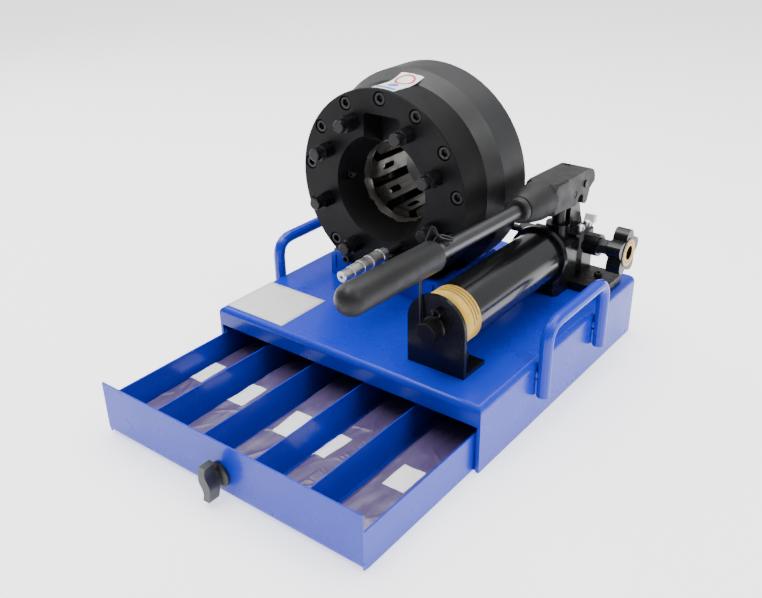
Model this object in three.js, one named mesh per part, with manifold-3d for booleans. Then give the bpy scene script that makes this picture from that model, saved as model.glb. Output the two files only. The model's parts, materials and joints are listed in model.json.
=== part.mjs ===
// Bench-top hose crimping press: a round crimping head and a lever hand pump on a low sheet-metal
// cabinet, whose drawer holds bagged die sets. Millimetres, +Z up, front of the machine towards -Y.
// The origin is the middle of the cabinet's underside.

import * as THREE from 'three';
import { mergeVertices } from 'three/addons/utils/BufferGeometryUtils.js';
import { ConvexGeometry } from 'three/addons/geometries/ConvexGeometry.js';
import Module from 'manifold-3d';

const wasm = await Module();
wasm.setup();

// ---------------------------------------------------------------- driving dimensions

// The space left between neighbouring pieces, how far a cutting tool runs past a face, and the
// number of sides that stand for a circle.
const GAP = 0.3;
const OVERRUN = 1;
const FINE = 72;
const MEDIUM = 36;
const COARSE = 20;
const QUARTER = Math.PI / 2;

const CABINET = { width: 400, depth: 398, height: 84, sheet: 2, bend: 8, lip: 24.5, hem: 12, hemWidth: 4 };
const FRONT = -CABINET.depth / 2;
const BACK = CABINET.depth / 2;
const PAN_SHEET = 1.2;

const DRAWER = { open: 192.5, width: 385, depth: 380, frontHeight: 70, sideHeight: 49, sheet: 2, bend: 8 };
const DRAWER_FRONT = FRONT - DRAWER.open;
const DRAWER_BOTTOM = PAN_SHEET + 0.4;
const DIVIDER = { first: -124, pitch: 77.3, count: 4, sheet: 1.5, foot: 9 };
const PACK_HEIGHT = 18;
const LOCK = { height: 29, flange: 14.5, wing: 44, reach: 37, camFront: 5.6 };

const HANDLE = { tube: 8, bottom: 38, top: 130, halfSpan: 74, middle: 1, bend: 24 };

// The head's axis runs along Y at x, z; the other values are places along it.
const HEAD = { x: -56.6, z: 227, face: -37, seam: 13, coneEnd: 35, rear: 86.5 };
const FLANGE_RADIUS = 128;
const CYLINDER_RADIUS = 140;
const CYLINDER_BORE = 118;
const REAR_WALL = 20;
const MOUTH = { outer: 70, inner: 53.5, depth: 41.5 };
const SCREWS = { count: 13, circle: 116, first: 6.6, bore: 9.5, depth: 9 };
// Long nuts in a ring, placed in pairs at these angles either side of the middle, in degrees.
const TIE = {
  circle: 91.2, middle: 88.5, halfAngles: [28, 67, 110.5, 156], flats: 19, hexLength: 18, cap: 8.4,
};
const NOTCH = { left: -24.5, right: 31.5, top: 96, depth: 38, corner: 5 };

// Radii of a die's inner and outer faces, half the space between dies, and the taper in degrees.
const DIES = { count: 8, inner: 43.4, outer: 92, length: 68, side: 6, phase: -4.2, taper: 30 };
const DIE_SLOT = { half: 4, depth: 10, front: 31, back: 47 };
const PISTON = { front: 30, rear: 65.5, neckOuter: 72, neckBore: 66.5, skirt: 117.6 };
const REAR_COVER = { bore: 47, tube: 56, flange: 88, thick: 8, front: 83.5, back: 112 };
const SEAL = { front: 48, width: 4, depth: 4 };

const CRADLE = { half: 90, top: 119, plate: 6, front: -34, back: 106, corner: 9, slotWidth: 2.6, slotAt: 81 };
// The depth stop: its place in the head by angle and radius, then places along Y.
const STOP = { angle: 293.6, circle: 75.3, rod: 4.5, tip: -153.6, collarEnd: -68.5 };

// The pump is built around x = 0 and then moved to PUMP.x; the tube's axis is at height axis.
const PUMP = { x: 115, axis: 140, tubeRadius: 34.5, tubeWall: 3, tubeFront: -155.7, blockFront: 70 };
const BRACKET = { half: 38.5, front: -161, sheet: 5, foot: 44 };
const BLOCK = { half: 27, back: 180, top: 154, footHalf: 76, footFront: 112, footBack: 175, footTop: 96 };
const VALVE = {
  y: 152, z: 138.5, boss: 15, bossEnd: 165, stem: 6, knobBack: 185, knobFace: 205, knobRadius: 31.5,
};
const OUTLET = { y: 124, z: 147, radius: 10, end: 60, nut: 23, pipe: 5, portX: 22, bend: 15, portFront: 98 };

// The lever's pivot pin, the link pin's offset from it, and the lever along its own length.
const PIVOT = { y: 152, z: 219, pin: 5, lug: 10, lugHalf: 8 };
const LINK = { y: -28.3, z: -6.6, pin: 4.5 };
const LEVER = {
  rise: 2.28, head: 21, drop: 2.7, slot: 8.5, bar: 9.2, neckEnd: -134, castEnd: -52, flat: -54,
};
const GRIP = { radius: 17.2, rear: -317, tip: -473.5 };
const PLUNGER = { radius: 9, bottom: 112, gland: 16, glandTop: 170 };
const HOOK = { wire: 1.6, foot: 133, peak: 253, crossing: 240.8 };

const CABINET_TOP = CABINET.height;

// ---------------------------------------------------------------- finishes

function finish(color, roughness, metalness) {
  return new THREE.MeshStandardMaterial({ color, roughness, metalness });
}

const bluePaint = finish(0x2450c8, 0.3, 0.1);
const blackPaint = finish(0x101014, 0.25, 0.1);
const blackenedSteel = finish(0x3a3b3e, 0.5, 0.6);
const castGrey = finish(0x55585b, 0.55, 0.5);
const bareSteel = finish(0x8d8c88, 0.35, 0.9);
const brightSteel = finish(0xc4c6c8, 0.15, 1);
const darkPlastic = finish(0x2c2d30, 0.6, 0);
const gripRubber = finish(0x4a4b4d, 0.75, 0);
const sealRubber = finish(0x18181a, 0.8, 0);
const filmPurple = finish(0x6a5c82, 0.25, 0);

// ---------------------------------------------------------------- geometry helpers

// Merges equal vertices, drops collapsed triangles and turns the faces outward.
function weld(geometry) {
  const bare = geometry.clone();
  bare.deleteAttribute('normal');
  bare.deleteAttribute('uv');
  const welded = mergeVertices(bare, 1e-4);
  const index = Array.from(welded.index.array);
  const position = welded.getAttribute('position');
  const corners = [new THREE.Vector3(), new THREE.Vector3(), new THREE.Vector3()];
  const kept = [];
  let volume = 0;
  for (let i = 0; i < index.length; i += 3) {
    const [a, b, c] = index.slice(i, i + 3);
    if (a === b || b === c || a === c) continue;
    kept.push(a, b, c);
    corners.forEach((corner, k) => corner.fromBufferAttribute(position, [a, b, c][k]));
    volume += corners[0].dot(corners[1].cross(corners[2]));
  }
  if (volume < 0) kept.reverse();
  welded.setIndex(kept);
  return welded;
}

function solid(geometry) {
  const welded = weld(geometry);
  const vertProperties = new Float32Array(welded.getAttribute('position').array);
  const triVerts = new Uint32Array(welded.index.array);
  return new wasm.Manifold(new wasm.Mesh({ numProp: 3, vertProperties, triVerts }));
}

function geometryOf(manifold) {
  const mesh = manifold.getMesh();
  const geometry = new THREE.BufferGeometry();
  geometry.setAttribute('position', new THREE.BufferAttribute(new Float32Array(mesh.vertProperties), 3));
  geometry.setIndex(Array.from(mesh.triVerts));
  return geometry;
}

function joined(...pieces) {
  return geometryOf(pieces.map(solid).reduce((whole, piece) => whole.add(piece)));
}

function carved(body, ...tools) {
  return geometryOf(tools.map(solid).reduce((whole, tool) => whole.subtract(tool), solid(body)));
}

function common(a, b) {
  return geometryOf(solid(a).intersect(solid(b)));
}

// A box given by its low and high corners.
function block(low, high) {
  const size = high.map((value, k) => value - low[k]);
  const middle = high.map((value, k) => (value + low[k]) / 2);
  return new THREE.BoxGeometry(...size).translate(...middle);
}

// A solid of revolution about a line parallel to Y; the profile is a list of [radius, y].
function turned(profile, segments = MEDIUM) {
  const points = profile.map(([radius, y]) => new THREE.Vector2(radius, y));
  const onAxis = points[0].x === 0 && points[points.length - 1].x === 0;
  if (!onAxis) points.push(points[0].clone());
  return weld(new THREE.LatheGeometry(points, segments));
}

function rod(radius, from, to, segments = COARSE) {
  return turned([[0, from], [radius, from], [radius, to], [0, to]], segments);
}

function polygonBar(flats, sides, from, to) {
  const radius = flats / 2 / Math.cos(Math.PI / sides);
  return turned([[0, from], [radius, from], [radius, to], [0, to]], sides);
}

// Turns a piece built along Y so that it runs along X or along Z.
const alongX = (geometry) => geometry.rotateZ(-QUARTER);
const alongZ = (geometry) => geometry.rotateX(QUARTER);

// A plate whose outline lies in X and Z, filling y from `from` to `to`.
function uprightPlate(outline, from, to, curveSegments = 8) {
  const options = { depth: to - from, bevelEnabled: false, curveSegments };
  const plate = new THREE.ExtrudeGeometry(outline, options);
  return plate.rotateX(QUARTER).translate(0, to, 0);
}

// A plate whose outline lies in Y and Z, filling x from `from` to `to`.
function sidePlate(outline, from, to, curveSegments = 8) {
  const options = { depth: to - from, bevelEnabled: false, curveSegments };
  const plate = new THREE.ExtrudeGeometry(outline, options);
  const axes = [[0, 1, 0], [0, 0, 1], [1, 0, 0]].map((axis) => new THREE.Vector3(...axis));
  return plate.applyMatrix4(new THREE.Matrix4().makeBasis(...axes)).translate(from, 0, 0);
}

// A plate lying flat, filling z from `from` to `to`.
function flatPlate(outline, from, to, curveSegments = 6) {
  const options = { depth: to - from, bevelEnabled: false, curveSegments };
  return new THREE.ExtrudeGeometry(outline, options).translate(0, 0, from);
}

// A rectangle with its own radius at each corner: low left, low right, high right, high left.
function roundedOutline([x0, y0], [x1, y1], [r0, r1, r2, r3]) {
  const outline = new THREE.Shape();
  outline.moveTo(x0 + r0, y0);
  outline.lineTo(x1 - r1, y0);
  if (r1 > 0) outline.absarc(x1 - r1, y0 + r1, r1, -QUARTER, 0);
  outline.lineTo(x1, y1 - r2);
  if (r2 > 0) outline.absarc(x1 - r2, y1 - r2, r2, 0, QUARTER);
  outline.lineTo(x0 + r3, y1);
  if (r3 > 0) outline.absarc(x0 + r3, y1 - r3, r3, QUARTER, 2 * QUARTER);
  outline.lineTo(x0, y0 + r0);
  if (r0 > 0) outline.absarc(x0 + r0, y0 + r0, r0, 2 * QUARTER, 3 * QUARTER);
  return outline;
}

function wireAlong(path, radius, sides, steps) {
  const ring = [];
  for (let k = 0; k < sides; k += 1) {
    const angle = (2 * Math.PI * k) / sides;
    ring.push(new THREE.Vector2(radius * Math.cos(angle), radius * Math.sin(angle)));
  }
  const options = { steps, extrudePath: path, bevelEnabled: false };
  return weld(new THREE.ExtrudeGeometry(new THREE.Shape(ring), options));
}

// A straight run, a quarter bend and so on through the corner points, as one curve.
function bentPath(corners, radius) {
  const path = new THREE.CurvePath();
  let start = corners[0];
  for (let k = 1; k < corners.length - 1; k += 1) {
    const corner = corners[k];
    const before = corner.clone().sub(corners[k - 1]).setLength(radius);
    const after = corners[k + 1].clone().sub(corner).setLength(radius);
    const entry = corner.clone().sub(before);
    const exit = corner.clone().add(after);
    path.add(new THREE.LineCurve3(start, entry));
    path.add(new THREE.QuadraticBezierCurve3(entry, corner, exit));
    start = exit;
  }
  path.add(new THREE.LineCurve3(start, corners[corners.length - 1]));
  return path;
}

function named(name, geometry, material) {
  const mesh = new THREE.Mesh(geometry, material);
  mesh.name = name;
  return mesh;
}

function groupAt(position, ...children) {
  const group = new THREE.Group();
  group.position.set(...position);
  group.add(...children);
  return group;
}

// ---------------------------------------------------------------- cabinet

// The space inside the bent cover when it is shrunk by `inset` on the top, front and sides.
function coverVolume(halfWidth, front, back, inset, bottom) {
  const top = CABINET_TOP - inset;
  const bend = CABINET.bend - inset;
  const across = roundedOutline([-halfWidth, bottom], [halfWidth, top], [0, 0, bend, bend]);
  const along = roundedOutline([front, bottom], [back, top], [0, 0, 0, bend]);
  return common(uprightPlate(across, front, back), sidePlate(along, -halfWidth, halfWidth));
}

function cabinetCover() {
  const { width, sheet, lip, hem, hemWidth } = CABINET;
  const half = width / 2;
  const shell = coverVolume(half, FRONT, BACK, 0, 0);
  const cavity = coverVolume(half - sheet, FRONT + hem, BACK + OVERRUN, sheet, -OVERRUN);
  const hemCavity = coverVolume(half - hemWidth, FRONT + sheet, FRONT + hem + OVERRUN, sheet, -OVERRUN);
  const mouthHalf = half - hemWidth;
  const mouth = block([-mouthHalf, FRONT - OVERRUN, -OVERRUN], [mouthHalf, FRONT + hem, CABINET_TOP - lip]);
  return named('cabinet_cover', carved(shell, cavity, hemCavity, mouth), bluePaint);
}

function cabinetFloorPan() {
  const half = CABINET.width / 2 - CABINET.hemWidth - GAP;
  const low = [-half, FRONT + CABINET.sheet + GAP, 0];
  const high = [half, BACK - CABINET.sheet - 2 * GAP, PAN_SHEET];
  return named('cabinet_floor_pan', block(low, high), bluePaint);
}

function cabinetBackPanel() {
  const { width, sheet, bend } = CABINET;
  const half = width / 2 - sheet - GAP;
  const corner = bend - sheet - GAP;
  const top = CABINET_TOP - sheet - GAP;
  const outline = roundedOutline([-half, PAN_SHEET + GAP], [half, top], [0, 0, corner, corner]);
  return named('cabinet_back_panel', uprightPlate(outline, BACK - sheet, BACK), bluePaint);
}

// A hat-section strip inside each side of the cover that guides the drawer's side.
function drawerRunner(name, side) {
  const inner = DRAWER.width / 2 + 0.7;
  const outer = CABINET.width / 2 - CABINET.hemWidth - GAP;
  const top = DRAWER.sideHeight + 3;
  const front = FRONT + CABINET.sheet + GAP;
  const back = BACK - CABINET.sheet - 10;
  const guide = block([inner, front, PAN_SHEET + GAP], [outer, back, top]);
  const flangeEdge = CABINET.width / 2 - CABINET.sheet - GAP;
  const flangeFront = FRONT + CABINET.hem + GAP;
  const flange = block([inner, flangeFront, top - CABINET.sheet], [flangeEdge, back, top]);
  const runner = joined(guide, flange);
  if (side < 0) runner.scale(-1, 1, 1);
  return named(name, weld(runner), bluePaint);
}

// A bent tube handle, welded upright against the cabinet's side.
function carryHandle(name, side) {
  const { tube, bottom, top, halfSpan, middle, bend } = HANDLE;
  const x = side * (CABINET.width / 2 + tube + GAP);
  const corners = [
    new THREE.Vector3(x, middle - halfSpan, bottom),
    new THREE.Vector3(x, middle - halfSpan, top),
    new THREE.Vector3(x, middle + halfSpan, top),
    new THREE.Vector3(x, middle + halfSpan, bottom),
  ];
  return named(name, wireAlong(bentPath(corners, bend), tube, 12, 44), bluePaint);
}

function cabinet() {
  const pieces = [cabinetCover(), cabinetFloorPan(), cabinetBackPanel()];
  pieces.push(drawerRunner('drawer_runner_left', -1), drawerRunner('drawer_runner_right', 1));
  pieces.push(carryHandle('carry_handle_left', -1), carryHandle('carry_handle_right', 1));
  return groupAt([0, 0, 0], ...pieces);
}

// ---------------------------------------------------------------- drawer
// Built with its front face at y = 0 and its inside towards +Y.

// Front plate and floor are one sheet, bent along the bottom edge.
function trayProfile() {
  const { depth, frontHeight, sheet, bend } = DRAWER;
  const bottom = DRAWER_BOTTOM;
  const profile = new THREE.Shape();
  profile.moveTo(0, frontHeight);
  profile.lineTo(0, bottom + bend);
  profile.absarc(bend, bottom + bend, bend, 2 * QUARTER, 3 * QUARTER);
  profile.lineTo(depth, bottom);
  profile.lineTo(depth, bottom + sheet);
  profile.lineTo(bend, bottom + sheet);
  profile.absarc(bend, bottom + bend, bend - sheet, 3 * QUARTER, 2 * QUARTER, true);
  profile.lineTo(sheet, frontHeight);
  return profile;
}

function drawerTray() {
  const { width, depth, sideHeight, sheet } = DRAWER;
  const half = width / 2;
  const floor = DRAWER_BOTTOM + sheet / 2;
  const tray = joined(
    sidePlate(trayProfile(), -half, half),
    block([-half, sheet / 2, floor], [-half + sheet, depth, sideHeight]),
    block([half - sheet, sheet / 2, floor], [half, depth, sideHeight]),
    block([-half, depth - sheet, floor], [half, depth, sideHeight]),
  );
  const shaftHole = rod(4.3, -OVERRUN, sheet + OVERRUN).translate(0, 0, LOCK.height);
  return named('drawer_tray', carved(tray, shaftHole), bluePaint);
}

function dividerPlace(k) {
  return DIVIDER.first + DIVIDER.pitch * k;
}

function drawerDivider(k) {
  const { sheet, foot } = DIVIDER;
  const x = dividerPlace(k);
  const front = DRAWER.sheet + GAP;
  const back = DRAWER.depth - DRAWER.sheet - GAP;
  const floor = DRAWER_BOTTOM + DRAWER.sheet + GAP;
  const heel = DRAWER.bend;
  const wall = block([x, heel, floor], [x + sheet, back, DRAWER.sideHeight]);
  const nose = block([x, front, floor + heel], [x + sheet, heel + OVERRUN, DRAWER.sideHeight]);
  const base = block([x, heel, floor], [x + foot, back, floor + sheet]);
  return named(`drawer_divider_${k + 1}`, joined(wall, nose, base), bluePaint);
}

// A bagged set of dies lying in one compartment.
function diePack(k) {
  const clear = 3;
  const wall = DRAWER.width / 2 - DRAWER.sheet;
  const left = k === 0 ? -wall : dividerPlace(k - 1) + DIVIDER.foot;
  const right = k === DIVIDER.count ? wall : dividerPlace(k);
  const floor = DRAWER_BOTTOM + DRAWER.sheet + 1;
  const edge = 5;
  const low = [left + clear + edge, 20 + edge];
  const high = [right - clear - edge, DRAWER.depth - 12 - edge];
  const outline = roundedOutline(low, high, [6, 6, 6, 6]);
  const options = { depth: PACK_HEIGHT - 2 * edge, bevelSize: edge, bevelThickness: edge, bevelSegments: 2 };
  const pack = new THREE.ExtrudeGeometry(outline, { ...options, curveSegments: 3 });
  return named(`die_pack_${k + 1}`, weld(pack.translate(0, 0, floor + edge)), filmPurple);
}

// The S-shaped wing of the knob, seen from the front.
function wingOutline() {
  const half = LOCK.wing / 2;
  const sway = 2.4;
  const width = 4.6;
  const belly = 3.2;
  const centre = (t) => sway * Math.sin(Math.PI * t);
  const halfWidth = (t) => width + belly * Math.cos((Math.PI / 2) * t) ** 6;
  const steps = 10;
  const outline = [];
  for (let k = -steps; k <= steps; k += 1) {
    outline.push(new THREE.Vector2(halfWidth(k / steps) - centre(k / steps), (half * k) / steps));
  }
  for (let k = steps; k >= -steps; k -= 1) {
    outline.push(new THREE.Vector2(-halfWidth(k / steps) - centre(k / steps), (half * k) / steps));
  }
  return new THREE.Shape(outline);
}

function drawerKnob() {
  const hub = turned([
    [0, -12], [8, -12], [8, -6], [12, -5.2], [LOCK.flange, -3.5], [LOCK.flange, -GAP], [0, -GAP],
  ]);
  const wing = uprightPlate(wingOutline(), -24, -9.5);
  const knob = joined(hub, wing, rod(4, -OVERRUN, 12));
  return named('drawer_knob', knob.translate(0, 0, LOCK.height), darkPlastic);
}

function drawerLockCam() {
  const outline = roundedOutline([-LOCK.reach, -5], [6, 5], [4, 4, 4, 4]);
  const back = LOCK.camFront + 3;
  const plate = uprightPlate(outline, LOCK.camFront, back);
  const cam = carved(plate, rod(4.3, 0, back + OVERRUN));
  return named('drawer_lock_cam', cam.translate(0, 0, LOCK.height), bareSteel);
}

function drawer() {
  const pieces = [drawerTray(), drawerKnob(), drawerLockCam()];
  for (let k = 0; k < DIVIDER.count; k += 1) pieces.push(drawerDivider(k));
  for (let k = 0; k <= DIVIDER.count; k += 1) pieces.push(diePack(k));
  return groupAt([0, DRAWER_FRONT, 0], ...pieces);
}

// ---------------------------------------------------------------- crimping head
// Built around its own axis, which runs along Y through x = 0, z = 0.

function onCircle(geometry, radius, degrees) {
  const angle = THREE.MathUtils.degToRad(degrees);
  return geometry.translate(radius * Math.cos(angle), 0, radius * Math.sin(angle));
}

function frontFlange() {
  const { face, seam } = HEAD;
  const chamfer = 1;
  const throat = face + MOUTH.depth;
  const body = turned([
    [MOUTH.inner, seam],
    [FLANGE_RADIUS, seam],
    [FLANGE_RADIUS, face + chamfer],
    [FLANGE_RADIUS - chamfer, face],
    [MOUTH.outer, face],
    [MOUTH.inner, throat],
  ], FINE);
  const notchOutline = roundedOutline(
    [NOTCH.left, 30], [NOTCH.right, NOTCH.top], [0, 0, NOTCH.corner, NOTCH.corner]);
  const tools = [uprightPlate(notchOutline, face - OVERRUN, face + NOTCH.depth, 3)];
  for (let k = 0; k < SCREWS.count; k += 1) {
    const bore = rod(SCREWS.bore, face - OVERRUN, face + SCREWS.depth, 18);
    tools.push(onCircle(bore, SCREWS.circle, SCREWS.first + (360 / SCREWS.count) * k));
  }
  tools.push(onCircle(rod(STOP.rod + GAP, face - OVERRUN, face + 22, 16), STOP.circle, STOP.angle));
  tools.push(onCircle(rod(6, face + 2, face + 25, 16), MOUTH.outer - 7, 178));
  return named('front_flange', carved(body, ...tools), blackenedSteel);
}

function headCylinder() {
  const { seam, coneEnd, rear } = HEAD;
  const chamfer = 1;
  const front = seam + GAP;
  const wall = rear - REAR_WALL;
  const body = turned([
    [CYLINDER_BORE, front],
    [FLANGE_RADIUS, front],
    [CYLINDER_RADIUS, coneEnd],
    [CYLINDER_RADIUS, rear - chamfer],
    [CYLINDER_RADIUS - chamfer, rear],
    [PISTON.neckOuter + GAP, rear],
    [PISTON.neckOuter + GAP, wall],
    [CYLINDER_BORE, wall],
  ], FINE);
  return named('head_cylinder', body, blackenedSteel);
}

const DIE_TAPER = THREE.MathUtils.degToRad(DIES.taper);
const DIE_STEP = (2 * Math.PI) / DIES.count;
const DIE_PHASE = THREE.MathUtils.degToRad(DIES.phase);

// How far a die's outer face lies from the head's axis at a given depth.
function dieFace(y) {
  return DIES.outer - (y - HEAD.seam - GAP) * Math.tan(DIE_TAPER);
}

// The eight-sided taper that the dies lean on, as a tool to cut the piston with.
function dieTaper(front, back) {
  const clearance = GAP / Math.cos(DIE_TAPER);
  const corner = Math.cos(Math.PI / DIES.count);
  const frontRadius = (dieFace(front) + clearance) / corner;
  const backRadius = (dieFace(back) + clearance) / corner;
  const taper = turned([[0, front], [frontRadius, front], [backRadius, back], [0, back]], DIES.count);
  return taper.rotateY(DIE_STEP / 2 - DIE_PHASE);
}

// The ring piston: its taper squeezes the dies and its neck runs out through the rear wall.
function piston() {
  const { front, rear, neckOuter, neckBore, skirt } = PISTON;
  const ring = turned([
    [neckBore, front],
    [skirt, front],
    [skirt, SEAL.front],
    [skirt - SEAL.depth, SEAL.front],
    [skirt - SEAL.depth, SEAL.front + SEAL.width],
    [skirt, SEAL.front + SEAL.width],
    [skirt, rear],
    [neckOuter, rear],
    [neckOuter, HEAD.rear - GAP],
    [neckBore, HEAD.rear - GAP],
  ], FINE);
  return named('piston', carved(ring, dieTaper(front - OVERRUN, rear)), bareSteel);
}

// The rear cover: a bolted ring with a tube through which the hose leaves.
function rearCover() {
  const { bore, tube, flange, thick, front, back } = REAR_COVER;
  const seat = HEAD.rear + GAP;
  const ring = turned([
    [bore, front],
    [tube, front],
    [tube, seat],
    [flange, seat],
    [flange, seat + thick - 1],
    [flange - 1, seat + thick],
    [tube, seat + thick],
    [tube, back - 1],
    [tube - 1, back],
    [bore + 1, back],
    [bore, back - 1],
  ], FINE);
  return named('rear_cover', ring, blackenedSteel);
}

function pistonSeal() {
  const inner = PISTON.skirt - SEAL.depth + GAP;
  const low = SEAL.front + GAP;
  const high = SEAL.front + SEAL.width - GAP;
  const outer = PISTON.skirt - 0.1;
  const ring = turned([[inner, low], [outer, low], [outer, high], [inner, high]], FINE);
  return named('piston_seal', ring, sealRubber);
}

// One master die: a wedge with a flat face to the bore and a slot for the die pin.
function masterDie(k) {
  const front = HEAD.seam + GAP;
  const back = front + DIES.length;
  const halfWidth = (radius) => radius * Math.tan(DIE_STEP / 2) - DIES.side / Math.cos(DIE_STEP / 2);
  const corners = [];
  [front, back].forEach((y) => {
    [DIES.inner, dieFace(y)].forEach((radius) => {
      corners.push(new THREE.Vector3(radius, y, halfWidth(radius)));
      corners.push(new THREE.Vector3(radius, y, -halfWidth(radius)));
    });
  });
  const from = DIES.inner - OVERRUN;
  const to = DIES.inner + DIE_SLOT.depth;
  const slotEnd = (y) => alongX(rod(DIE_SLOT.half, from, to, 12)).translate(0, y, 0);
  const slot = block([from, DIE_SLOT.front, -DIE_SLOT.half], [to, DIE_SLOT.back, DIE_SLOT.half]);
  const die = carved(new ConvexGeometry(corners), slot, slotEnd(DIE_SLOT.front), slotEnd(DIE_SLOT.back));
  die.rotateY(-DIE_STEP * k - DIE_PHASE);
  return named(`master_die_${k + 1}`, die, bareSteel);
}

// A long hexagon nut with a round cap, one on each tie rod.
function tieNut(k, degrees) {
  const base = HEAD.face - GAP;
  const hexEnd = base - TIE.hexLength;
  const nut = joined(
    polygonBar(TIE.flats, 6, hexEnd, base).rotateY(THREE.MathUtils.degToRad(11 * k)),
    turned([
      [0, hexEnd - 12],
      [TIE.cap - 1, hexEnd - 12],
      [TIE.cap, hexEnd - 11],
      [TIE.cap, hexEnd - 5],
      [TIE.cap - 1.5, hexEnd - 4.5],
      [TIE.cap - 1.5, hexEnd - 3],
      [TIE.cap + 0.6, hexEnd - 2.4],
      [TIE.cap + 0.6, hexEnd + OVERRUN],
      [0, hexEnd + OVERRUN],
    ], COARSE),
  );
  return named(`tie_nut_${k + 1}`, onCircle(nut, TIE.circle, degrees), blackenedSteel);
}

function tieNuts() {
  const right = TIE.halfAngles.map((angle) => TIE.middle - angle);
  const left = TIE.halfAngles.map((angle) => TIE.middle + angle);
  return [...right, ...left].map((degrees, k) => tieNut(k, degrees));
}

// The crimp stop: a plain rod in the flange with a ringed, knurled barrel screwed on its end.
function stopRod() {
  const bar = rod(STOP.rod, STOP.collarEnd - 24, HEAD.face + 20);
  return named('stop_rod', onCircle(bar, STOP.circle, STOP.angle), blackenedSteel);
}

function stopBarrel() {
  const { tip, collarEnd, rod: bore } = STOP;
  const ringWidth = 2.2;
  const profile = [[0, tip], [6.4, tip], [7.2, tip + 0.8]];
  const stages = [[7.2, 16], [8, 16], [8.5, 14], [8.9, 18]];
  let y = tip + 0.8;
  stages.forEach(([radius, length]) => {
    y += length;
    profile.push([radius, y], [radius + 0.7, y + 0.5], [radius + 0.7, y + 0.5 + ringWidth]);
    y += 0.5 + ringWidth;
  });
  profile.push([8, y + 0.4], [8, collarEnd], [bore + GAP, collarEnd], [bore + GAP, collarEnd - 26]);
  profile.push([0, collarEnd - 26]);
  const barrel = turned(profile, 24);
  const flat = 6.9;
  const sideCut = (sign) => {
    const edges = [sign * flat, sign * 12].sort((a, b) => a - b);
    return block([edges[0], y + 1, -12], [edges[1], collarEnd + OVERRUN, 12]);
  };
  const oilHole = rod(2.2, tip - OVERRUN, tip + 4, 12);
  const shaped = carved(barrel, sideCut(1), sideCut(-1), oilHole);
  return named('stop_barrel', onCircle(shaped, STOP.circle, STOP.angle), brightSteel);
}

function crimpingHead() {
  const pieces = [
    frontFlange(), headCylinder(), rearCover(), piston(), pistonSeal(), stopRod(), stopBarrel(),
  ];
  pieces.push(...tieNuts());
  for (let k = 0; k < DIES.count; k += 1) pieces.push(masterDie(k));
  return groupAt([HEAD.x, 0, HEAD.z], ...pieces);
}

// ---------------------------------------------------------------- cradle under the head
// Built around x = 0; the plates' saddles follow the head's outer radius.

function saddlePlate(name, y, headRadius, half, slots) {
  const bottom = CABINET_TOP + GAP;
  const { top, plate, corner, slotWidth, slotAt } = CRADLE;
  const outline = roundedOutline([-half, bottom], [half, top], [0, 0, corner, corner]);
  const tools = [rod(headRadius + 2 * GAP, y - OVERRUN, y + plate + OVERRUN, FINE).translate(0, 0, HEAD.z)];
  if (slots) {
    [-slotAt, slotAt].forEach((x) => {
      const low = [x - slotWidth / 2, y - OVERRUN, bottom + 10];
      const high = [x + slotWidth / 2, y + plate + OVERRUN, top - 5];
      tools.push(block(low, high));
    });
  }
  return named(name, carved(uprightPlate(outline, y, y + plate, 5), ...tools), bluePaint);
}

function cradleRail(name, side) {
  const { half, top, plate, front, back } = CRADLE;
  const low = [front + plate + GAP, CABINET_TOP + GAP];
  const outline = roundedOutline(low, [back, top], [0, 0, 8, 0]);
  const inner = side > 0 ? half - plate : -half;
  const clearance = rod(CYLINDER_RADIUS + 3 * GAP, HEAD.seam, HEAD.rear + 2, FINE).translate(0, 0, HEAD.z);
  return named(name, carved(sidePlate(outline, inner, inner + plate, 5), clearance), bluePaint);
}

function cradle() {
  const rearHalf = CRADLE.half - CRADLE.plate - GAP;
  const rearPlate = HEAD.rear - 14;
  return groupAt([HEAD.x, 0, 0],
    saddlePlate('cradle_front', CRADLE.front, FLANGE_RADIUS, CRADLE.half, true),
    saddlePlate('cradle_rear', rearPlate, CYLINDER_RADIUS, rearHalf, false),
    cradleRail('cradle_rail_left', -1),
    cradleRail('cradle_rail_right', 1),
  );
}

// ---------------------------------------------------------------- hand pump
// Built around x = 0, in the cabinet's y and z.

function archOutline(half, bottom, centre) {
  const outline = new THREE.Shape();
  outline.moveTo(-half, bottom);
  outline.lineTo(half, bottom);
  outline.lineTo(half, centre);
  outline.absarc(0, centre, half, 0, 2 * QUARTER);
  return outline;
}

function pumpBracket() {
  const { half, front, sheet, foot } = BRACKET;
  const bottom = CABINET_TOP + GAP;
  const arch = uprightPlate(archOutline(half, bottom, PUMP.axis), front, front + sheet, 20);
  const base = block([-half, front + 1, bottom], [half, front + foot, bottom + sheet]);
  const plugHole = rod(8.3, front - OVERRUN, front + sheet + OVERRUN).translate(0, 0, PUMP.axis);
  return named('pump_bracket', carved(joined(arch, base), plugHole), blackPaint);
}

function bracketPlug() {
  const face = BRACKET.front - GAP;
  const plug = joined(
    polygonBar(23, 6, face - 20, face - 4).rotateY(0.2),
    turned([[0, face - 4 - OVERRUN], [14, face - 4 - OVERRUN], [15, face - 4], [15, face], [0, face]]),
    rod(8, face - OVERRUN, PUMP.tubeFront + 12),
  );
  return named('bracket_plug', plug.translate(0, 0, PUMP.axis), blackPaint);
}

function reservoirTube() {
  const { tubeRadius, tubeWall, tubeFront, blockFront } = PUMP;
  const inside = tubeRadius - tubeWall;
  const endWall = tubeFront + 7;
  const tube = turned([
    [8.3, tubeFront],
    [tubeRadius - 1.2, tubeFront],
    [tubeRadius, tubeFront + 1.2],
    [tubeRadius, blockFront - GAP],
    [inside, blockFront - GAP],
    [inside, endWall],
    [8.3, endWall],
  ], 48);
  return named('reservoir_tube', tube.translate(0, 0, PUMP.axis), blackPaint);
}

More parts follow.
